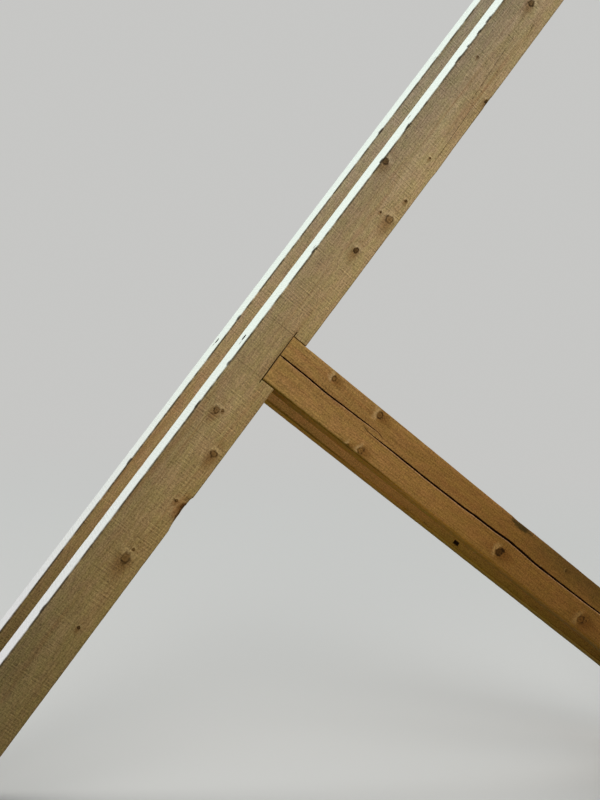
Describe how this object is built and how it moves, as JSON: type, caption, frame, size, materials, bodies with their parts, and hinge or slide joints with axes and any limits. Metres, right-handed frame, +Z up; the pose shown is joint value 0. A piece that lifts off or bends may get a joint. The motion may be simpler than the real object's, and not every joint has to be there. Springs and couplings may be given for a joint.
{
  "type": "timber raking truss",
  "caption": "Doubled timber truss that props a framed wall from outside: raking timbers on upright posts, with struts housed between them and seats for the wall's rail.",
  "frame": {"origin": "on the ground, in the middle of the truss's length and width", "axes": "+X level toward the wall, +Y along the wall from the near frame to the far frame, +Z up"},
  "size_m": [3.236, 0.525, 6],
  "materials": {
    "post": "band-sawn softwood, unplaned",
    "raker": "band-sawn softwood, unplaned, bleached on top",
    "strut": "band-sawn softwood, unplaned, with a long drying check"
  },
  "bodies": {
    "root": {"post_near": "post", "post_far": "post", "raker_near": "raker", "raker_far": "raker", "strut_near": "strut", "strut_far": "strut"}
  },
  "joints": []
}
